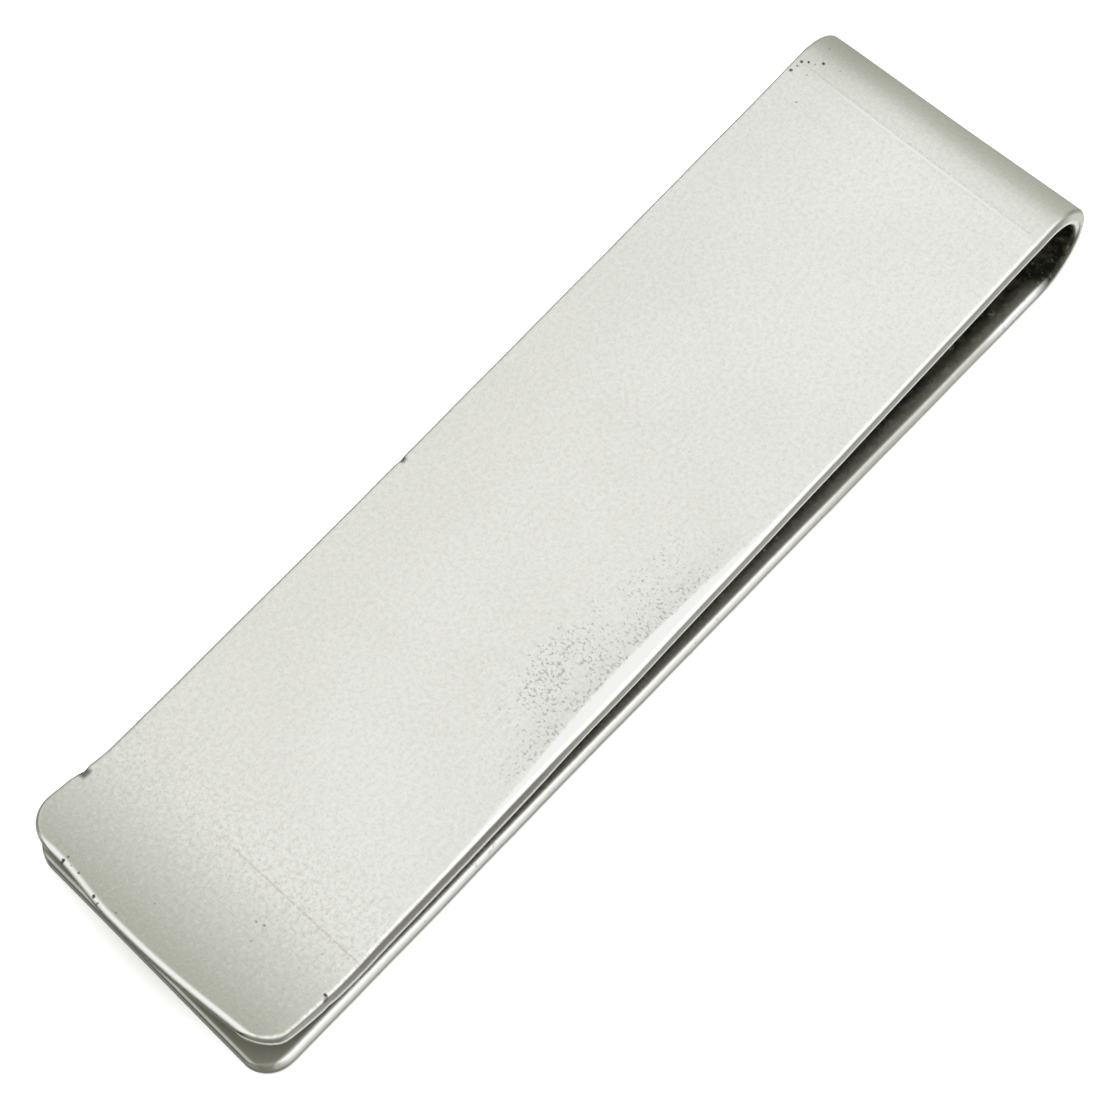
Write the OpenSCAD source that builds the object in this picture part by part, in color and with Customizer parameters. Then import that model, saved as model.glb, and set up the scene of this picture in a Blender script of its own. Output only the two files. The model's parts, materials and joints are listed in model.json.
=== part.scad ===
// Money clip: one strip of sheet silver folded over into a spring clip.
// The strip is drawn as the spans it is bent into: a flat back leaf, the two
// quarters of the return bend, three spans of the front leaf and the thumb lip.
// Millimetres. +X runs along the clip towards the bend, +Z is up out of the
// front leaf, and the clip lies on its back leaf at Z = 0. The origin is under
// the middle of the whole clip.

/* [Strip] */
// width of the strip
strip_w = 15.6; // [12:0.2:20]
// thickness of the sheet
sheet_t = 0.9; // [0.7:0.05:1.1]
// how far the long edges are rubbed round
edge_r = 0.22; // [0.1:0.02:0.3]

/* [Fold] */
// length from the back leaf's free end to the outside of the bend
clip_len = 57; // [50:0.5:66]
// outer radius of the return bend
bend_r = 2.9; // [2.7:0.1:3.4]
// gap left between the leaves at the contact line
grip_gap = 0.3; // [0.1:0.05:0.6]

/* [Front leaf] */
// slope of the span next to the bend, in degrees
root_slope = 5.7; // [4.5:0.1:6.5]
// length of the span next to the bend
root_run = 10.6; // [8:0.2:14]
// share of the remaining leaf taken by the middle span
mid_share = 0.577; // [0.45:0.01:0.65]
// how much steeper the middle span is than the outer one, rise over run
leaf_bow = 0.0225; // [0.01:0.0025:0.03]

/* [Thumb lip] */
// where the lip starts to curl up, measured from the back leaf's free end
lip_start = 5.9; // [4.5:0.1:8]
// radius of the lip's upper face
lip_r = 11; // [10:0.5:16]
// sweep of the rolled heel that touches the back leaf, in degrees
heel_sweep = 8; // [6:1:10]
// corner radius of the lip on the -Y side
lip_corner_near = 1.6; // [1:0.2:4]
// corner radius of the lip on the +Y side
lip_corner_far = 2.3; // [1:0.2:4]

/* [Back leaf] */
// corner radius of the back leaf's free end
back_corner = 1.6; // [0.8:0.1:3]
// how far out of square the back leaf's free end is, in degrees
end_skew = 2.8; // [0:0.2:4]

/* [Colour] */
// colour of the outside faces
silver = "#d5d6cf"; // ["#d5d6cf", "#c4c6bd", "#e2e2dc"]
// colour of the lip
worn_silver = "#b9bbae"; // ["#b9bbae", "#a8aa9c", "#cfd0c8"]

/* [Hidden] */
$fn = 72;
corner_steps = 7;
half_w = strip_w / 2;

// centre of the bend, seen from the side
bend_x = clip_len - bend_r;
bend_z = bend_r;

// upper face of the front leaf, one point at each end of each span
p_crown = [bend_x - bend_r * sin(root_slope), bend_z + bend_r * cos(root_slope)];
p_root = p_crown - root_run * [1, tan(root_slope)];
p_heel = [lip_start, 2 * sheet_t + grip_gap];
rest_run = p_root[0] - p_heel[0];
rest_grade = (p_root[1] - p_heel[1]) / rest_run;
mid_slope = atan(rest_grade + leaf_bow * (1 - mid_share));
tip_slope = atan(rest_grade - leaf_bow * mid_share);
p_mid = p_root - mid_share * rest_run * [1, tan(mid_slope)];

// the lip curls about this centre, and its upper corner ends over the back leaf's end
lip_c = p_heel + lip_r * [-sin(tip_slope), cos(tip_slope)];
lip_sweep = tip_slope + asin(lip_c[0] / lip_r);
lip_over = lip_c[0] - (lip_r + sheet_t) * sin(lip_sweep - tip_slope);

// the skewed free end of the back leaf
skew_x = half_w * tan(end_skew);

// the whole clip is moved so that the origin is under its middle
x_low = min(lip_over, -skew_x + back_corner * tan(end_skew) / 2);
x_shift = -(x_low + clip_len) / 2;

// points on an arc about c, from angle a0 to a1
function arc_pts(c, r, a0, a1) =
    [for (i = [0:corner_steps]) let (a = a0 + (a1 - a0) * i / corner_steps)
        c + r * [cos(a), sin(a)]];

// centre of a fillet between a long edge at y = side * half_w and an end line that
// leans by lean degrees and crosses the middle at x = x0
function corner_c(x0, lean, side, r) =
    let (y = side * (half_w - r)) [x0 + y * tan(lean) + r / cos(lean), y];

// section across the strip: thickness along x from r0, width along y, long edges rounded
module section(r0) {
    translate([r0, edge_r - half_w]) square([sheet_t, strip_w - 2 * edge_r]);
    translate([r0 + edge_r, -half_w]) square([sheet_t - 2 * edge_r, strip_w]);
    for (x = [r0 + edge_r, r0 + sheet_t - edge_r])
        for (y = [edge_r - half_w, half_w - edge_r])
            translate([x, y]) circle(edge_r, $fn = 24);
}

// the section swept about a line parallel to Y through c, between two angles
module swept(c, r0, a0, a1) {
    translate([c[0], 0, c[1]]) rotate([90, 0, 0]) rotate([0, 0, a0])
        rotate_extrude(angle = a1 - a0) section(r0);
}

// a flat span whose upper face runs from point a down to point b
module span(a, b) {
    d = a - b;
    translate([b[0], 0, b[1]]) rotate([0, -atan2(d[1], d[0]), 0])
        rotate([90, 0, 90]) linear_extrude(height = norm(d))
            translate([0, -sheet_t]) rotate([0, 0, 90]) mirror([0, 1]) section(0);
}

// plan of a strip end: two rounded corners and a line that may lean
module end_plan(x0, lean, r_near, r_far, reach) {
    near = corner_c(x0, lean, -1, r_near);
    far = corner_c(x0, lean, 1, r_far);
    polygon(concat([[reach, half_w + 1], [far[0], half_w + 1]],
                   arc_pts(far, r_far, 90, 180 - lean),
                   arc_pts(near, r_near, 180 - lean, 270),
                   [[near[0], -half_w - 1], [reach, -half_w - 1]]));
}

// the flat leaf the clip lies on, with its free end rounded and a little out of square
module back_leaf() {
    color(silver) translate([x_shift, 0, 0]) intersection() {
        span([bend_x, sheet_t], [-2, sheet_t]);
        translate([0, 0, -1]) linear_extrude(height = sheet_t + 2)
            end_plan(0, end_skew, back_corner, back_corner, clip_len);
    }
}

// lower quarter of the return bend, from the back leaf to the outermost line
module bend_back() {
    color(silver) translate([x_shift, 0, 0])
        swept([bend_x, bend_z], bend_r - sheet_t, -90, 0);
}

// upper quarter of the bend, past the crown to the front leaf's slope
module bend_front() {
    color(silver) translate([x_shift, 0, 0])
        swept([bend_x, bend_z], bend_r - sheet_t, 0, 90 + root_slope);
}

// front leaf, span next to the bend
module leaf_root() {
    color(silver) translate([x_shift, 0, 0]) span(p_crown, p_root);
}

// front leaf, middle span
module leaf_mid() {
    color(silver) translate([x_shift, 0, 0]) span(p_root, p_mid);
}

// front leaf, outer span
module leaf_tip() {
    color(silver) translate([x_shift, 0, 0]) span(p_mid, p_heel);
}

// rolled heel of the lip, the line that presses on the notes
module lip_heel() {
    color(silver) translate([x_shift, 0, 0])
        swept(lip_c, lip_r, tip_slope - 90 - heel_sweep, tip_slope - 90);
}

// upturned end the notes are slid under, with two unlike corners
module thumb_lip() {
    color(worn_silver) translate([x_shift, 0, 0]) intersection() {
        swept(lip_c, lip_r, tip_slope - 90 - lip_sweep, tip_slope - 90 - heel_sweep);
        translate([0, 0, sheet_t]) linear_extrude(height = lip_r)
            end_plan(lip_over, 0, lip_corner_near, lip_corner_far, 2 * lip_start);
    }
}

back_leaf();
bend_back();
bend_front();
leaf_root();
leaf_mid();
leaf_tip();
lip_heel();
thumb_lip();
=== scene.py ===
"""A folded money clip in worn satin silver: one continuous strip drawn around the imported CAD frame.

The strip is swept along its own length in "strip millimetres": u runs along the outer face from the
back leaf's free end, round the bend and down the front leaf to the lip, v runs across it. Each point
keeps its (u, v, face) in an attribute, and the material reads wear, tarnish and pits from that."""

import json
import math

import bpy
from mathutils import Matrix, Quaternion, Vector, noise


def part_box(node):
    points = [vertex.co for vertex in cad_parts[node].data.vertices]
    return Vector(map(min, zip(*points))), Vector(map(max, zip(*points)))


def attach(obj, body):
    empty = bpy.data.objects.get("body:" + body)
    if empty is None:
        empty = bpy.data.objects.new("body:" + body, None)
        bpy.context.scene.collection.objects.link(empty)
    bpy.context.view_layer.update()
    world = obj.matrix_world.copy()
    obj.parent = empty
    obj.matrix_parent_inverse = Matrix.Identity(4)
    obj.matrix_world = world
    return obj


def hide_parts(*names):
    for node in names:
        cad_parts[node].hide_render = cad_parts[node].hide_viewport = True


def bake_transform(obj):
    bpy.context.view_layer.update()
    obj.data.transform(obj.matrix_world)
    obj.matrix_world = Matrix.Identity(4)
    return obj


MM = 0.001

# ---------------------------------------------------------------- the frame
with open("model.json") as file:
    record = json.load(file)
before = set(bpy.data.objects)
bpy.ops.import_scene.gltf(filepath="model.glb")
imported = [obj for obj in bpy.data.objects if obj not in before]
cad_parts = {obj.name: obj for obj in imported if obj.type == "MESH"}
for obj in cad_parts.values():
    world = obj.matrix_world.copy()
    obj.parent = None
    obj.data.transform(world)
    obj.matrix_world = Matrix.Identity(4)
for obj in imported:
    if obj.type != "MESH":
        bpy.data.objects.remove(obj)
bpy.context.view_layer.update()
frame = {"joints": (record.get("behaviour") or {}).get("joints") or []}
joints = {j["name"]: j for j in frame["joints"]}

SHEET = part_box("back_leaf")[1].z / MM
HALF_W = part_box("leaf_mid")[1].y / MM
TIP_X = joints["bend_flex"]["pos_m"][0] / MM
BEND_R = joints["bend_flex"]["pos_m"][2] / MM
BEND_X = TIP_X - BEND_R
CLIP_LEN = 57.0
BACK_END = TIP_X - CLIP_LEN
ROOT_JOINT = Vector(joints["leaf_root_flex"]["pos_m"])

# ---------------------------------------------------------------- the strip's own sizes, mm
LIP_R = 11.0
LIP_START = BACK_END + 5.9
GRIP_GAP = 0.3
BACK_CORNER = 1.6
LIP_CORNER_NEAR = 1.6
LIP_CORNER_FAR = 2.3

# Rounding of the edges, how deep the back leaf's upper ones are rubbed, and the largest share of thin
# sheet that rounding may take from one face
EDGE_R = 0.22
BACK_EDGE_DEEP = 0.50
MOST_ROUNDED = 0.45

# How the outline strays from straight and square: FAR_EXTRA widens the +Y side, the BACK, NEAR, SIDE
# and HEEL values shape the -Y side, and BEND_SKEW turns the fold
FAR_EXTRA = 0.10
BACK_SPREAD = 0.16
BACK_SPREAD_END = 0.08
NEAR_TRIM = 0.08
NEAR_TRIM_HEEL = 0.05
SIDE_LEAN = 0.06
SIDE_LEAN_HEEL = 0.09
HEEL_TRIM_AT = 105.0
HEEL_LEAN_AT = 106.0
BEND_SKEW = 0.012

# How the two free ends are cut and worn
END_SKEW = math.tan(math.radians(3.4))
BACK_REACH = 0.06
SKEW_REACH = 6.0
LIP_BOW = 0.35
LIP_BOW_MIDDLE = -1.5
LIP_BOW_HALF = 7.5
LIP_SPREAD = 0.2
LIP_RETREAT = 0.42
LIP_THINNING = 0.40
LIP_THIN_FAR = 0.17
LIP_THIN_RUN = 2.0

# The facet rubbed along the front leaf's -Y edge, and the sheet's unevenness
RUB_MIDDLE = 94.0
RUB_REACH = 15.0
RUB_WIDE = 0.85
RUB_NARROW = 0.12
RUB_GRADE = 0.10
WAVE_SIZE = 9.0
WAVE_DEPTH = 0.02

# Mesh density
STEP = 0.4
CLOSEST = 0.012
BEND_STEPS = 72
CORNER_STEPS = 9
EDGE_STEPS = 5
CROSS_CELLS = 44


def root_slope():
    """Slope of the front leaf at the bend: the line from the root joint that touches the bend's circle."""
    dx = BEND_X - ROOT_JOINT.x / MM
    dz = BEND_R - ROOT_JOINT.z / MM
    reach = math.hypot(dx, dz)
    return math.atan2(dz, dx) + math.asin(BEND_R / reach)


SLOPE = root_slope()
CROWN = (BEND_X - BEND_R * math.sin(SLOPE), BEND_R + BEND_R * math.cos(SLOPE))
HEEL = (LIP_START, 2 * SHEET + GRIP_GAP)
LEAF_RUN = CROWN[0] - HEEL[0]
LEAF_MEAN = (CROWN[1] - HEEL[1]) / LEAF_RUN
LEAF_BOW = (math.tan(SLOPE) - LEAF_MEAN) / LEAF_RUN
HEEL_GRADE = LEAF_MEAN - LEAF_BOW * LEAF_RUN
HEEL_SLOPE = math.atan(HEEL_GRADE)
LIP_C = (HEEL[0] - LIP_R * math.sin(HEEL_SLOPE), HEEL[1] + LIP_R * math.cos(HEEL_SLOPE))
LIP_SWEEP = HEEL_SLOPE + math.asin((LIP_C[0] - BACK_END) / LIP_R)

U_BEND = BEND_X - BACK_END
U_CROWN = U_BEND + BEND_R * (math.pi + SLOPE)
U_HEEL = U_CROWN + LEAF_RUN * math.hypot(1, LEAF_MEAN)
U_END = U_HEEL + LIP_R * LIP_SWEEP


def path(u):
    """Point (x, z) on the outer face at u, and the normal there that points out of the fold."""
    if u <= U_BEND:
        return (BACK_END + u, 0.0), (0.0, -1.0)
    if u <= U_CROWN:
        a = (u - U_BEND) / BEND_R - math.pi / 2
        out = (math.cos(a), math.sin(a))
        return (BEND_X + BEND_R * out[0], BEND_R + BEND_R * out[1]), out
    if u <= U_HEEL:
        x = LEAF_RUN * (1 - (u - U_CROWN) / (U_HEEL - U_CROWN))
        grade = HEEL_GRADE + 2 * LEAF_BOW * x
        size = math.hypot(grade, 1)
        z = HEEL[1] + HEEL_GRADE * x + LEAF_BOW * x * x
        return (HEEL[0] + x, z), (-grade / size, 1 / size)
    a = HEEL_SLOPE - math.pi / 2 - (u - U_HEEL) / LIP_R
    out = (-math.cos(a), -math.sin(a))
    return (LIP_C[0] - LIP_R * out[0], LIP_C[1] - LIP_R * out[1]), out


def fillet_inset(e, r):
    """How far a fillet of radius r has pulled an edge in, at distance e from the end it rounds."""
    e = min(max(e, 0.0), r)
    return r - math.sqrt(r * r - (r - e) ** 2)


def ease(t):
    """A smooth step from 0 to 1 while t goes from 0 to 1."""
    t = min(max(t, 0.0), 1.0)
    return t * t * (3 - 2 * t)


def around(u, middle, flat, fade):
    """1 within flat of middle, falling to 0 over the next fade."""
    return 1 - ease((abs(u - middle) - flat) / fade)


# Small dents in the long edges: (u, side, half length, depth)
NICKS = ((113.4, 1, 0.45, 0.12), (92.4, 1, 0.25, 0.05), (113.8, -1, 0.2, 0.08))


def nick(u, side):
    """Depth of the small dents in one long edge at u."""
    return sum(deep * around(u, at, 0, reach) for at, where, reach, deep in NICKS if where == side)


def edge_depth(u, inner):
    """Depth of the rounding at the long edges: the back leaf's upper ones are rubbed down further."""
    more = (1 - 0.6 * ease((u - 25) / 20) - 0.4 * ease((u - U_BEND + 1.5) / 2.5)) * inner
    return EDGE_R + (BACK_EDGE_DEEP - EDGE_R) * more


def half_width(u, side):
    """Half width at u on one side: nearly straight, with rounded corners, small nicks and a wider lip."""
    lip = max(0.0, (u - U_HEEL) / (U_END - U_HEEL))
    corner = LIP_CORNER_NEAR if side < 0 else LIP_CORNER_FAR
    inset = fillet_inset(u, BACK_CORNER) + fillet_inset(U_END - u, corner)
    rough = 0.018 * noise.noise(Vector((u * 0.35, side * 7.3, 0.0)))
    rough += 0.008 * noise.noise(Vector((u * 1.9, side * 3.1, 5.0)))
    if side > 0:
        spread = FAR_EXTRA + LIP_SPREAD * ease(2.2 * lip)
    else:
        spread = BACK_SPREAD - (BACK_SPREAD + NEAR_TRIM) * ease((u - U_BEND + 2) / 14)
        spread += BACK_SPREAD_END * ease((20 - u) / 15)
        spread -= NEAR_TRIM_HEEL * around(u, HEEL_TRIM_AT, 5, 6)
    return HALF_W + spread - inset + rough - nick(u, side)


def side_lean(u, side):
    """How much further out the inner face reaches than the outer one on the front leaf's -Y side."""
    if side > 0:
        return 0.0
    more = SIDE_LEAN + SIDE_LEAN_HEEL * around(u, HEEL_LEAN_AT, 5, 5)
    return more * ease((u - U_BEND - 5) / 4) * ease((U_END - u) / 3)


def rub_width(u):
    """Width of the facet rubbed along the -Y edge of the front leaf: widest around the middle of it."""
    return RUB_NARROW + (RUB_WIDE - RUB_NARROW) * around(u, RUB_MIDDLE, 0, RUB_REACH)


def rim_drop(u, v):
    """How far the outer face is rubbed down at (u, v) near the -Y edge of the front leaf."""
    if v > 0:
        return 0.0
    edge = half_width(u, -1) - abs(v)
    return RUB_GRADE * max(0.0, rub_width(u) - edge) * ease((u - U_CROWN) / 6)


def wave(u, v):
    """The gentle unevenness of hand-bent sheet."""
    return WAVE_DEPTH * noise.noise(Vector((u / WAVE_SIZE, v / WAVE_SIZE, 1.7)))


def cross_points():
    """The outer half of the section from +Y to -Y: (share of the flat width, steps into the edge, side)."""
    points = []
    for i in range(EDGE_STEPS):
        points.append((1.0, i / EDGE_STEPS, 1))
    for i in range(CROSS_CELLS + 1):
        t = 1 - 2 * i / CROSS_CELLS
        t = math.copysign(1 - (1 - abs(t)) ** 1.35, t)
        points.append((t, 1.0, 1 if t > 0 else -1))
    for i in reversed(range(EDGE_STEPS)):
        points.append((-1.0, i / EDGE_STEPS, -1))
    return points


CROSS = cross_points()


def end_shift(u, v):
    """How the ends are cut: the back leaf's askew, the lip's bowed out and drawn back on its +Y side."""
    back = (END_SKEW * v - BACK_REACH) * (1 - ease(u / SKEW_REACH))
    off = min(abs(v - LIP_BOW_MIDDLE) / LIP_BOW_HALF, 1.0)
    lip = LIP_BOW * math.cos(off * math.pi / 2) ** 2 - LIP_RETREAT * ease((v - 1.5) / 4.5)
    return back + lip * ease((u - U_HEEL) / (U_END - U_HEEL))


def bend_shift(u, v):
    """The fold is a hair out of square, so its +Y end stands further out."""
    return BEND_SKEW * HALF_W * ease((v + 2) / 9) * around(u, U_BEND + 5, 3, 20)


def sheet_thickness(u, v):
    """The sheet, worn thinner toward the lip's end and most on its +Y side."""
    near_end = ease(1 - (U_END - u) / LIP_THIN_RUN)
    return SHEET - near_end * (LIP_THINNING + LIP_THIN_FAR * ease((v + 2) / 8))


def ring(u):
    """One closed section at u, as (position, (u, v, face)) pairs, outer half first."""
    (x, z), out = path(u)
    along = (-out[1], out[0])
    end_inset = fillet_inset(min(u, U_END - u), EDGE_R)
    made = []
    for inner in (False, True):
        row = []
        for share, into, side in CROSS:
            wide = half_width(u, side)
            turn = into * math.pi / 2
            if inner:
                wide += side_lean(u, side)
            v = share * (wide - EDGE_R)
            lift = 0.0
            if abs(share) == 1.0:
                v += side * EDGE_R * math.cos(turn)
                lift = edge_depth(u, inner) * (1 - math.sin(turn))
            thick = sheet_thickness(u, v)
            depth = max(lift, end_inset) * min(1.0, MOST_ROUNDED * thick / EDGE_R)
            if inner:
                depth = thick - depth
            else:
                depth += rim_drop(u, v)
            depth -= wave(u, v)
            shift = end_shift(u, v)
            across = x - out[0] * depth + along[0] * shift + bend_shift(u, v)
            spot = (across, v, z - out[1] * depth + along[1] * shift)
            face = 1 - lift / SHEET if inner else lift / SHEET
            row.append((Vector(spot) * MM, (u, v, face)))
        made.append(row if not inner else row[::-1])
    return made[0] + made[1]


def corner_steps(r):
    """Distances from an end that divide a corner of radius r evenly in angle."""
    return [r * (1 - math.cos(math.pi / 2 * i / CORNER_STEPS)) for i in range(CORNER_STEPS + 1)]


def stations(u0, u1):
    """Values of u from u0 to u1: close together round the bend, the corners and the ends."""
    values = {u0, u1}
    count = round(U_END / STEP)
    values.update(U_END * i / count for i in range(count + 1))
    values.update(U_BEND + (U_CROWN - U_BEND) * i / BEND_STEPS for i in range(BEND_STEPS + 1))
    for r in (BACK_CORNER, EDGE_R):
        values.update(corner_steps(r))
    for r in (LIP_CORNER_NEAR, LIP_CORNER_FAR, EDGE_R):
        values.update(U_END - step for step in corner_steps(r))
    kept = []
    for u in sorted(v for v in values if u0 <= v <= u1):
        if not kept or u - kept[-1] > CLOSEST:
            kept.append(u)
    kept[-1] = u1
    return kept


def strip_faces(sections, count):
    """Faces along a strip of closed sections of count points each, and the faces of its two end caps."""
    sides = []
    for k in range(sections - 1):
        a, b = k * count, (k + 1) * count
        for i in range(count):
            j = (i + 1) % count
            sides.append((a + i, b + i, b + j, a + j))
    last = (sections - 1) * count
    caps = []
    for i in range(count // 2 - 1):
        caps.append((i, i + 1, count - 2 - i, count - 1 - i))
        caps.append((last + i + 1, last + i, last + count - 1 - i, last + count - 2 - i))
    return sides, caps


def strip_piece(name, u0, u1, material):
    """The closed stretch of strip from u0 to u1."""
    rings = [ring(u) for u in stations(u0, u1)]
    verts = [p for r in rings for p, _ in r]
    coords = [c for r in rings for _, c in r]
    sides, caps = strip_faces(len(rings), len(rings[0]))
    mesh = bpy.data.meshes.new(name)
    mesh.from_pydata(verts, [], sides + caps)
    mesh.validate()
    layer = mesh.attributes.new("strip", "FLOAT_VECTOR", "POINT")
    layer.data.foreach_set("vector", [n for c in coords for n in c])
    mesh.polygons.foreach_set("use_smooth", [True] * len(mesh.polygons))
    cap_edges = {tuple(sorted(e)) for f in caps for e in zip(f, f[1:] + f[:1])}
    sharp = mesh.attributes.new("sharp_edge", "BOOLEAN", "EDGE")
    sharp.data.foreach_set("value", [tuple(sorted(e.vertices)) in cap_edges for e in mesh.edges])
    mesh.materials.append(material)
    obj = bpy.data.objects.new(name, mesh)
    bpy.context.scene.collection.objects.link(obj)
    return obj


# ---------------------------------------------------------------- material
class Graph:
    """Short calls for building a node tree."""

    def __init__(self, tree):
        self.tree = tree

    def node(self, kind, **inputs):
        made = self.tree.nodes.new(kind)
        for key, value in inputs.items():
            self.feed(made.inputs[key.replace("_", " ")], value)
        return made

    def feed(self, socket, value):
        if isinstance(value, bpy.types.NodeSocket):
            self.tree.links.new(value, socket)
        else:
            socket.default_value = value

    def math(self, how, a, b=0.0):
        made = self.tree.nodes.new("ShaderNodeMath")
        made.operation = how
        self.feed(made.inputs[0], a)
        self.feed(made.inputs[1], b)
        return made.outputs[0]

    def span(self, value, low, high, out_low=0.0, out_high=1.0):
        """A smooth step of value from out_low at low to out_high at high."""
        made = self.node("ShaderNodeMapRange", Value=value, From_Min=low, From_Max=high)
        made.interpolation_type = "SMOOTHSTEP"
        self.feed(made.inputs["To Min"], out_low)
        self.feed(made.inputs["To Max"], out_high)
        return made.outputs["Result"]

    def mix(self, amount, a, b):
        made = self.tree.nodes.new("ShaderNodeMix")
        made.data_type = "RGBA"
        self.feed(made.inputs["Factor"], amount)
        self.feed(made.inputs["A"], a)
        self.feed(made.inputs["B"], b)
        return made.outputs["Result"]

    def noise(self, place, scale, detail=4.0, rough=0.55):
        made = self.node("ShaderNodeTexNoise", Vector=place, Scale=scale, Detail=detail, Roughness=rough)
        return made.outputs["Fac"]

    def stretched(self, place, scale):
        made = self.tree.nodes.new("ShaderNodeMapping")
        self.feed(made.inputs["Vector"], place)
        made.inputs["Scale"].default_value = scale
        return made.outputs["Vector"]


# Tones of the metal, from rubbed bright to deepest tarnish
RUBBED = (0.95, 0.95, 0.94, 1)
SILVER = (0.885, 0.885, 0.85, 1)
DULL = (0.74, 0.745, 0.70, 1)
DULLER = (0.63, 0.635, 0.58, 1)
SPECK = (0.50, 0.50, 0.455, 1)
SCUFF = (0.44, 0.44, 0.43, 1)
WORN_INSIDE = (0.42, 0.41, 0.35, 1)
# Painted shade for the sheet's sides
SIDE_SHADE = (0.37, 0.37, 0.34, 1)
DARK_SIDE = (0.31, 0.30, 0.28, 1)
UNDERSIDE = (0.17, 0.165, 0.135, 1)
BROWN = (0.12, 0.115, 0.085, 1)
PIT = (0.06, 0.06, 0.05, 1)
TARNISH = (0.030, 0.030, 0.024, 1)

# Roughness of the satin grain at its smoothest and roughest, and what rubbing and tarnish change
SATIN_SMOOTH = 0.34
SATIN_ROUGH = 0.42
RUBBED_SMOOTHER = 0.10
TARNISH_ROUGHER = 0.30

# Where marks lie on the strip, mm
BEND_CREASE = 64.24
BEND_CREASE_SLANT = 0.025
LIP_CREASE = 111.45
LIP_CREASE_SLANT = 0.03
CREASE_WIDE = 0.09
SCUFF_MIDDLE = 93.5
BLOT_U = 95.8
BLOT_V = -5.2
HEEL_SHADE_AT = 106.0

# Small dark pits: (u, v, radius). Those under FULL_PIT are shallower and paler
FULL_PIT = 0.08
BEND_PITS = (
    (64.6, 7.6, 0.10), (64.2, 7.5, 0.07), (63.9, 7.5, 0.09), (63.7, 7.2, 0.08), (63.6, 6.9, 0.06),
    (63.3, 6.6, 0.09), (63.1, 5.7, 0.05), (64.3, 6.8, 0.05), (65.8, 6.2, 0.06), (62.3, 7.0, 0.05),
)
LIP_PITS = (
    (117.62, 5.03, 0.11), (117.32, 5.04, 0.07), (117.5, 4.6, 0.06), (117.45, 4.1, 0.08),
    (117.59, 2.76, 0.10), (117.66, 2.39, 0.07), (117.3, 1.5, 0.06), (113.2, -2.9, 0.06),
    (113.1, -3.3, 0.07), (114.0, -3.4, 0.05), (111.1, 6.2, 0.05), (112.4, -6.1, 0.05),
    (115.6, 0.8, 0.05), (113.7, -7.54, 0.10),
)


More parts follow.
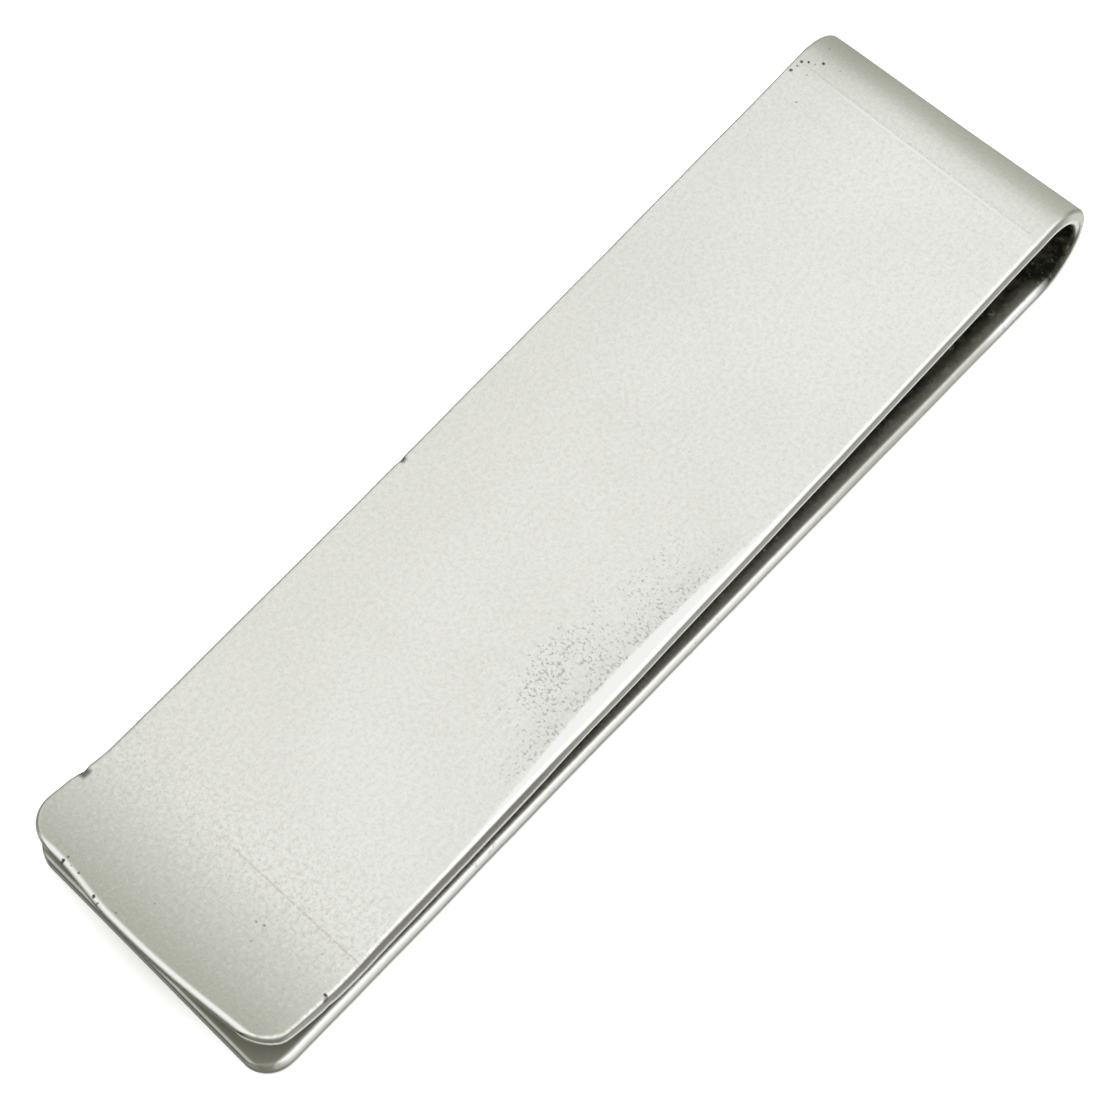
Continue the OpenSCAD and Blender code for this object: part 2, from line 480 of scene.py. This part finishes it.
class StripPattern:
    """Masks over the strip, 1 where the mark is and 0 elsewhere, and the measures they are made from."""

    def __init__(self, g):
        self.g = g
        place = g.node("ShaderNodeAttribute")
        place.attribute_name = "strip"
        self.strip = place.outputs["Vector"]
        parts = g.node("ShaderNodeSeparateXYZ", Vector=self.strip)
        self.u, self.v, self.face = parts.outputs
        self.fine = g.noise(self.strip, 8.0, 2.0, 0.6)
        self.grain = g.noise(self.strip, 4.2, 4.0, 0.65)
        self.cloud = g.noise(self.strip, 0.16, 2.0, 0.5)
        self.patches = g.noise(self.strip, 1.1, 5.0, 0.7)
        half = g.span(self.v, -1, 1, HALF_W + BACK_SPREAD, HALF_W + FAR_EXTRA)
        self.edge = g.math("SUBTRACT", half, g.math("ABSOLUTE", self.v))
        self.near_edge = g.math("ADD", self.v, HALF_W - NEAR_TRIM)

    def ragged(self, value, amount):
        """value with its boundary broken up by the grain."""
        g = self.g
        return g.math("ADD", value, g.math("MULTIPLY", g.math("SUBTRACT", self.grain, 0.5), amount))

    def near(self, value, middle, full, gone):
        """1 within full of middle, falling to 0 at gone from it."""
        g = self.g
        return g.span(g.math("ABSOLUTE", g.math("SUBTRACT", value, middle)), full, gone, 1.0, 0.0)

    def to_end(self):
        """Distance from the lip's end."""
        return self.g.math("SUBTRACT", U_END, self.u)

    def rubbed_edges(self):
        """The bright facet along the front leaf's -Y edge, and the lip's bright end."""
        g = self.g
        off = g.math("ABSOLUTE", g.math("SUBTRACT", self.u, RUB_MIDDLE))
        wide = g.span(off, 0.0, RUB_REACH, RUB_WIDE, RUB_NARROW)
        gap = g.math("SUBTRACT", self.ragged(self.near_edge, 0.25), wide)
        side = g.math("MULTIPLY", g.span(gap, -0.1, 0.06, 1.0, 0.0), g.span(self.u, U_CROWN, U_CROWN + 5))
        return g.math("MAXIMUM", side, g.span(self.to_end(), 0.18, 0.32, 1.0, 0.0))

    def inside(self):
        """The inner face, the tarnish on it, which is worn off toward edges and free ends, and its rim."""
        g = self.g
        inner = g.span(self.face, 0.55, 0.65)
        start = g.span(self.u, U_BEND - 1, U_BEND + 1, EDGE_R - 0.05, 0.02)
        width = g.span(self.u, U_BEND - 1, U_BEND + 1, g.span(self.u, 6, 40, 0.30, 0.9), 0.25)
        gap = g.math("SUBTRACT", self.ragged(self.edge, 0.35), start)
        patchy = g.math("MULTIPLY", g.math("SUBTRACT", self.patches, 0.5), g.span(self.u, 25, 45, 0.3, 1.1))
        gap = g.math("ADD", gap, g.math("MULTIPLY", patchy, g.span(self.edge, 0.2, 0.5)))
        deep = g.span(g.math("DIVIDE", gap, width), 0.0, 1.0)
        ends = g.math("MULTIPLY", g.span(self.u, 0.8, 6.0), g.span(self.to_end(), 0.5, 7.0))
        rim = g.span(self.edge, EDGE_R - 0.08, EDGE_R + 0.12, 1.0, 0.0)
        rim = g.math("MAXIMUM", rim, g.span(self.u, 0.08, 0.28, 1.0, 0.0))
        return inner, g.math("MULTIPLY", deep, ends), rim

    def arris_highlight(self):
        """A painted highlight: a thin bright line on the inner arris of the front leaf's -Y edge."""
        g = self.g
        line = self.near(self.face, 0.74, 0.08, 0.17)
        return g.math("MULTIPLY", line, g.span(self.u, U_BEND + 3.8, U_BEND + 5.5))

    def sheet_side(self):
        """Where shade is painted on the sheet's side, between its rounded edges."""
        g = self.g
        start = g.span(self.v, -1, 1, 0.05, 0.2)
        past = g.math("SUBTRACT", self.face, start)
        inner_round = g.span(self.u, U_BEND - 3, U_BEND, 0.42, 0.75)
        side = g.math("MULTIPLY", g.span(past, 0.0, 0.1), g.span(self.face, inner_round, 0.85, 1.0, 0.0))
        return g.math("MULTIPLY", side, g.math("SUBTRACT", 1.0, self.near(self.u, U_BEND + 4.6, 2.5, 4.5)))

    def bend_side(self):
        """The fold's dark inside colour carried out over the inner part of the sheet's side round the bend.
        """
        g = self.g
        reach = self.near(self.u, U_BEND + 2.4, 1.8, 3.4)
        return g.math("MULTIPLY", reach, g.span(self.ragged(self.face, 0.12), 0.36, 0.56))

    def scuffs_and_facet_shade(self):
        """Small dark marks in a band beside the rubbed edge, thickest in one blot, over a faint band of
        painted shade along the rubbed facet.
        """
        g = self.g
        clear = self.near(self.u, SCUFF_MIDDLE, 4.0, 10.0)
        clear = g.math("MULTIPLY", clear, g.span(self.near_edge, 0.4, 0.9))
        band = g.span(self.near_edge, 0.9, 2.8, 1.0, 0.0)
        blot = g.math("MULTIPLY", self.near(self.u, BLOT_U, 1.2, 4.2), self.near(self.v, BLOT_V, 0.5, 2.8))
        blot = g.math("MULTIPLY", blot, 0.9)
        stray = g.span(self.near_edge, 2.0, 6.5, 0.5, 0.0)
        patch = g.math("MULTIPLY", g.math("MAXIMUM", g.math("MAXIMUM", band, blot), stray), clear)
        clumps = g.noise(self.strip, 0.9, 2.0, 0.5)
        patch = g.math("MULTIPLY", patch, g.span(clumps, 0.28, 0.52))
        marks = g.noise(g.stretched(self.strip, (7.0, 5.2, 1.0)), 1.0, 2.0, 0.6)
        level = g.math("ADD", marks, g.math("MULTIPLY", patch, 0.14))
        marks = g.math("MULTIPLY", g.span(level, 0.62, 0.76), g.span(patch, 0.05, 0.4))
        # Painted shade: a faint grey band along the rubbed facet's boundary.
        facet_shade = g.math("MULTIPLY", g.math("MULTIPLY", band, clear), 0.16)
        return g.math("MAXIMUM", marks, facet_shade)

    def nick_stain(self):
        """Dirt in the nicks, on the upper part of the sheet's side."""
        g = self.g
        total = 0.0
        for at, side, reach, _ in NICKS:
            rim = g.span(g.math("MULTIPLY", self.v, float(side)), HALF_W - 0.3, HALF_W - 0.1)
            one = g.math("MULTIPLY", self.near(self.u, at, 0.3 * reach, reach), rim)
            total = g.math("MAXIMUM", one, total)
        return g.math("MULTIPLY", total, g.span(self.face, 0.15, 0.4, 1.0, 0.0))

    def drawn_lines(self):
        """Faint lines across the strip, left where it was bent."""
        g = self.g
        lines = g.noise(g.stretched(self.strip, (5.0, 0.12, 1.0)), 1.0, 2.0, 0.6)
        return g.math("MULTIPLY", g.span(lines, 0.52, 0.7), self.near(self.u, U_CROWN - 0.5, 2.5, 8.0))

    def crease(self, at, slant, width):
        """A straight line across the strip, a little askew."""
        g = self.g
        line = g.math("ADD", self.u, g.math("MULTIPLY", self.v, slant))
        return self.near(line, at, 0.2 * width, width)

    def pits(self, places):
        """Ragged round spots, one at each place."""
        g = self.g
        flat = g.node("ShaderNodeCombineXYZ", X=self.u, Y=self.v).outputs[0]
        rough = g.math("MULTIPLY", g.math("SUBTRACT", self.fine, 0.5), 0.16)
        total = 0.0
        for u, v, size in places:
            gap = g.tree.nodes.new("ShaderNodeVectorMath")
            gap.operation = "DISTANCE"
            g.feed(gap.inputs[0], flat)
            gap.inputs[1].default_value = (u, v, 0)
            depth = min(1.0, (size / FULL_PIT) ** 2)
            one = g.span(g.math("ADD", gap.outputs["Value"], rough), 0.3 * size, 1.3 * size, depth, 0.0)
            total = g.math("MAXIMUM", one, total)
        return total


def bare_colour(g, p, rubbed, scuffs_and_facet_shade):
    """The outer face: satin, speckled, scuffed and rubbed bright, with painted shade on the lip, over the
    bend and beside the rubbed facet.
    """
    colour = g.mix(g.span(p.cloud, 0.35, 0.75, 0.0, 0.25), SILVER, DULL)
    colour = g.mix(g.span(p.u, U_CROWN + 4, U_CROWN + 24, 0.4, 0.0), colour, RUBBED)
    colour = g.mix(g.span(p.v, 0.0, 7.5, 0.0, 0.30), colour, DULL)
    # Painted shade: the lip is dulled where its flare turns away from the light.
    lip_shade = g.span(p.u, U_HEEL - 0.8, U_HEEL + 3.4)
    colour = g.mix(g.math("MULTIPLY", lip_shade, 0.9), colour, DULL)
    colour = g.mix(g.math("MULTIPLY", lip_shade, 0.42), colour, DULLER)
    # Painted shade over the bend, from its crease back, deepest toward +Y where the fold turns away from
    # the light.
    bend_shade = g.math("MULTIPLY", g.span(p.u, 62.8, 65.0, 1.0, 0.0), g.span(p.v, 2.0, 7.0, 0.42, 0.75))
    colour = g.mix(bend_shade, colour, DULLER)
    mottle = g.span(p.u, U_HEEL - 5, U_HEEL + 1, 0.30, 0.74)
    colour = g.mix(g.math("MULTIPLY", g.span(p.grain, 0.42, 0.70), mottle), colour, DULLER)
    colour = g.mix(g.span(p.grain, 0.30, 0.46, 0.30, 0.0), colour, RUBBED)
    speckle = g.span(p.u, U_HEEL - 6, U_HEEL, 0.28, 0.42)
    colour = g.mix(g.math("MULTIPLY", g.span(p.fine, 0.46, 0.78), speckle), colour, SPECK)
    colour = g.mix(g.math("MULTIPLY", p.drawn_lines(), 0.09), colour, SPECK)
    # Scuff marks, and the painted shade along the rubbed facet.
    colour = g.mix(g.math("MULTIPLY", scuffs_and_facet_shade, 0.78), colour, SCUFF)
    return g.mix(rubbed, with_crease_shade_and_highlight(g, p, colour), RUBBED)


def with_crease_shade_and_highlight(g, p, colour):
    """colour with painted shade along the crease at the foot of the lip and along the one at the bend, and
    a painted highlight beside the bend's crease.
    """
    # Painted shade along the crease at the foot of the lip, broken into dots.
    foot = p.crease(LIP_CREASE, LIP_CREASE_SLANT, CREASE_WIDE)
    foot = g.math("MULTIPLY", foot, g.span(p.fine, 0.3, 0.5))
    foot = g.math("MULTIPLY", foot, p.near(p.v, -4.0, 3.0, 6.0))
    colour = g.mix(g.math("MULTIPLY", foot, 0.45), colour, SPECK)
    # Painted shade along the bend's crease.
    dark = p.crease(BEND_CREASE - 0.13, BEND_CREASE_SLANT, CREASE_WIDE)
    dark = g.math("MULTIPLY", dark, g.span(p.fine, 0.35, 0.60))
    colour = g.mix(g.math("MULTIPLY", dark, 0.30), colour, SPECK)
    # Painted highlight beside the bend's crease.
    light = p.crease(BEND_CREASE + 0.02, BEND_CREASE_SLANT, CREASE_WIDE)
    light = g.math("MULTIPLY", light, g.span(p.grain, 0.35, 0.55, 0.35, 0.75))
    return g.mix(g.math("MULTIPLY", light, p.near(p.v, -0.5, 4.0, 7.0)), colour, RUBBED)


def tarnish_colour(g, p):
    """Near black inside the fold, patched with brown and grey, and plainer under the front leaf."""
    dark = g.mix(g.span(p.patches, 0.44, 0.64), TARNISH, BROWN)
    dark = g.mix(g.span(g.noise(p.strip, 2.3, 3.0, 0.7), 0.60, 0.76), dark, WORN_INSIDE)
    return g.mix(g.span(p.u, U_BEND + 6, U_BEND + 12, 0.0, 0.8), dark, UNDERSIDE)


def rim_wear_shade_and_glint(g, p):
    """The inner face's rim: rubbed bright and flecked, worn grey at the free end, greyed by painted shade
    toward the bend, and left bright as a painted glint just before the bend.
    """
    # Painted shade greys the rim from u 33 to 51; at the free end the grey is wear.
    worn = g.math("MAXIMUM", g.span(p.u, 33, 41, 0.22, 0.75), g.span(p.u, 0.4, 1.2, 0.6, 0.0))
    # Painted glint: past u 51 the rim is left bright up to the bend.
    worn = g.math("MULTIPLY", worn, g.span(p.u, 49, 51, 1.0, 0.0))
    flecks = g.span(g.noise(p.strip, 2.6, 3.0, 0.7), 0.58, 0.72, 0.0, 0.8)
    return g.mix(g.math("MAXIMUM", worn, flecks), RUBBED, SPECK)


def silver_material(name, pits):
    """Satin silver, rubbed bright at its edges and tarnished black inside the fold."""
    mat = bpy.data.materials.new(name)
    mat.use_nodes = True
    shader = mat.node_tree.nodes["Principled BSDF"]
    g = Graph(mat.node_tree)
    p = StripPattern(g)
    inner, deep, inner_rim = p.inside()
    rubbed = g.math("MULTIPLY", p.rubbed_edges(), g.math("SUBTRACT", 1.0, inner))
    scuffs_and_facet_shade = p.scuffs_and_facet_shade()
    hole = p.pits(pits)

    colour = bare_colour(g, p, rubbed, scuffs_and_facet_shade)
    # Painted shade on the sheet's sides, deeper by the heel.
    side_shade_tone = g.mix(p.near(p.u, HEEL_SHADE_AT, 5.0, 9.0), SIDE_SHADE, DARK_SIDE)
    colour = g.mix(p.sheet_side(), colour, side_shade_tone)
    dark = tarnish_colour(g, p)
    lining = g.mix(deep, g.mix(inner_rim, WORN_INSIDE, rim_wear_shade_and_glint(g, p)), dark)
    colour = g.mix(inner, colour, lining)
    colour = g.mix(p.bend_side(), colour, dark)
    # Painted highlight along the inner arris of the front leaf's -Y edge.
    colour = g.mix(p.arris_highlight(), colour, RUBBED)
    colour = g.mix(g.math("MULTIPLY", p.nick_stain(), 0.8), colour, PIT)
    colour = g.mix(hole, colour, PIT)
    g.feed(shader.inputs["Base Color"], colour)
    shader.inputs["Metallic"].default_value = 1.0

    satin = g.span(p.grain, 0.3, 0.7, SATIN_SMOOTH, SATIN_ROUGH)
    rough = g.math("SUBTRACT", satin, g.math("MULTIPLY", rubbed, RUBBED_SMOOTHER))
    tarnished = g.math("MULTIPLY", inner, g.math("SUBTRACT", 1.0, inner_rim))
    rough = g.math("ADD", rough, g.math("MULTIPLY", tarnished, TARNISH_ROUGHER))
    g.feed(shader.inputs["Roughness"], rough)

    height = g.math("ADD", g.math("MULTIPLY", p.grain, 1.4), p.fine)
    height = g.math("SUBTRACT", height, g.math("MULTIPLY", scuffs_and_facet_shade, 0.8))
    height = g.math("ADD", height, g.math("MULTIPLY", p.crease(BEND_CREASE, BEND_CREASE_SLANT, 0.2), 0.9))
    height = g.math("SUBTRACT", height, g.math("MULTIPLY", hole, 3.0))
    bump = g.node("ShaderNodeBump", Strength=0.35, Distance=0.00001, Height=height)
    g.feed(shader.inputs["Normal"], bump.outputs["Normal"])
    return mat


# ---------------------------------------------------------------- the clip
plain_silver = silver_material("satin_silver_sheet", ())
bend_silver = silver_material("satin_silver_bend", BEND_PITS)
lip_silver = silver_material("satin_silver_lip", LIP_PITS)

# Seams between the pieces, each inside one body's stretch of strip
U_BACK_SEAM = U_BEND - 8.0
U_ROOT_SEAM = U_CROWN + 3.0
U_MID_SEAM = U_CROWN + 21.0
U_LIP_SEAM = U_HEEL - 6.0

back = strip_piece("back_leaf_skin", 0.0, U_BACK_SEAM, plain_silver)
bend = strip_piece("bend_skin", U_BACK_SEAM, U_ROOT_SEAM, bend_silver)
root = strip_piece("front_leaf_inner_skin", U_ROOT_SEAM, U_MID_SEAM, plain_silver)
mid = strip_piece("front_leaf_outer_skin", U_MID_SEAM, U_LIP_SEAM, plain_silver)
lip = strip_piece("thumb_lip_skin", U_LIP_SEAM, U_END, lip_silver)

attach(back, "back")
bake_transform(bend)
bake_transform(root)
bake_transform(mid)
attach(lip, "front_end")

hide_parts("back_leaf")
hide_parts("bend_back", "bend_front")
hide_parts("leaf_root", "leaf_mid")
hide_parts("leaf_tip")
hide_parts("lip_heel", "thumb_lip")

# ---------------------------------------------------------------- floor, light and camera
FLOOR_SIZE = 3.0
FLOOR_Z = -0.02 * MM


def white_floor():
    """Plain white paper under the clip, which the metal does not mirror."""
    mesh = bpy.data.meshes.new("floor")
    h = FLOOR_SIZE / 2
    mesh.from_pydata([(x, y, FLOOR_Z) for x, y in ((-h, -h), (h, -h), (h, h), (-h, h))], [], [(0, 1, 2, 3)])
    mat = bpy.data.materials.new("white_paper")
    mat.use_nodes = True
    shader = mat.node_tree.nodes["Principled BSDF"]
    shader.inputs["Base Color"].default_value = (0.9, 0.9, 0.9, 1)
    shader.inputs["Roughness"].default_value = 0.9
    shader.inputs["Specular IOR Level"].default_value = 0.1
    mesh.materials.append(mat)
    obj = bpy.data.objects.new("floor", mesh)
    obj.visible_glossy = False
    bpy.context.scene.collection.objects.link(obj)


# The dome's tones from straight down (-1) to straight up (1)
SKY = (
    (-1.0, (0.34, 0.34, 0.31)), (-0.3, (0.50, 0.51, 0.45)), (0.15, (0.53, 0.545, 0.47)),
    (0.45, (0.60, 0.61, 0.55)), (0.82, (0.93, 0.93, 0.91)), (1.0, (0.95, 0.95, 0.94)),
)

# Round cards: (direction, cosine at the outer edge, cosine where it is full, tone)
CARDS = (
    ((-0.93, 0.3, -0.3), 0.82, 0.95, (0.05, 0.05, 0.04)),
    ((0.15, 1.0, 0.1), 0.72, 0.93, (0.30, 0.30, 0.27)),
    ((0.35, 0.80, 0.49), 0.95, 0.99, (1.1, 1.1, 1.1)),
    ((0.9, -0.45, -0.05), 0.86, 0.95, (0.25, 0.25, 0.22)),
    ((0.25, -0.75, 0.6), 0.75, 0.93, (1.35, 1.35, 1.35)),
    ((0.25, -0.95, -0.12), 0.84, 0.95, (1.12, 1.12, 1.12)),
    ((0.35, -0.22, -0.91), 0.84, 0.96, (0.85, 0.85, 0.82)),
)
BACKDROP = (0.95, 0.95, 0.94, 1)


def studio_sky():
    """A soft dome, grey low down and white overhead, with dark and bright cards round it for the metal
    to mirror, and a plain pale backdrop behind it all."""
    world = bpy.data.worlds.new("studio")
    bpy.context.scene.world = world
    world.use_nodes = True
    g = Graph(world.node_tree)
    toward = g.node("ShaderNodeTexCoord").outputs["Generated"]
    height = g.node("ShaderNodeSeparateXYZ", Vector=toward).outputs["Z"]
    ramp = world.node_tree.nodes.new("ShaderNodeValToRGB")
    for i, (z, tone) in enumerate(SKY):
        stop = ramp.color_ramp.elements[i] if i < 2 else ramp.color_ramp.elements.new(1.0)
        stop.position = (z + 1) / 2
        stop.color = (*tone, 1)
    g.feed(ramp.inputs["Fac"], g.math("MULTIPLY", g.math("ADD", height, 1.0), 0.5))

    colour = ramp.outputs["Color"]
    for direction, edge, full, tone in CARDS:
        aim = world.node_tree.nodes.new("ShaderNodeVectorMath")
        aim.operation = "DOT_PRODUCT"
        g.feed(aim.inputs[0], toward)
        aim.inputs[1].default_value = Vector(direction).normalized()
        colour = g.mix(g.span(aim.outputs["Value"], edge, full), colour, (*tone, 1))
    seen = world.node_tree.nodes.new("ShaderNodeLightPath").outputs["Is Camera Ray"]
    colour = g.mix(seen, colour, BACKDROP)
    g.feed(world.node_tree.nodes["Background"].inputs["Color"], colour)


def soft_light(name, place, size, watts):
    """A square lamp aimed at the clip, which the metal does not mirror."""
    data = bpy.data.lights.new(name, "AREA")
    data.size = size
    data.energy = watts
    obj = bpy.data.objects.new(name, data)
    obj.location = place
    obj.rotation_mode = "QUATERNION"
    obj.rotation_quaternion = (Vector(place) * -1).to_track_quat("-Z", "Y")
    obj.visible_glossy = False
    bpy.context.scene.collection.objects.link(obj)


# The camera's angles, distance in metres, aim, and lens in mm
CAMERA_AZIMUTH = math.radians(-47.69)
CAMERA_ELEVATION = math.radians(61.97)
CAMERA_ROLL = math.radians(-0.41)
CAMERA_DISTANCE = 0.150
CAMERA_AIM = Vector((-1.756, -0.119, 2.0)) * MM
CAMERA_LENS = 105.6


def photo_camera():
    """A short telephoto view from above the -Y side and the lip."""
    data = bpy.data.cameras.new("camera")
    data.sensor_width = 36.0
    data.lens = CAMERA_LENS
    data.clip_start = 0.005
    data.clip_end = 10.0
    level = math.cos(CAMERA_ELEVATION)
    across = Vector((math.sin(CAMERA_AZIMUTH), -math.cos(CAMERA_AZIMUTH), 0)) * level
    away = across + Vector((0, 0, math.sin(CAMERA_ELEVATION)))
    obj = bpy.data.objects.new("camera", data)
    obj.location = CAMERA_AIM + away * CAMERA_DISTANCE
    obj.rotation_mode = "QUATERNION"
    obj.rotation_quaternion = (-away).to_track_quat("-Z", "Y") @ Quaternion((0, 0, 1), CAMERA_ROLL)
    bpy.context.scene.collection.objects.link(obj)
    bpy.context.scene.camera = obj


white_floor()
studio_sky()
soft_light("fill", (0.0, 0.0, 1.2), 1.5, 22.0)
photo_camera()
bpy.context.scene.view_settings.view_transform = "Standard"
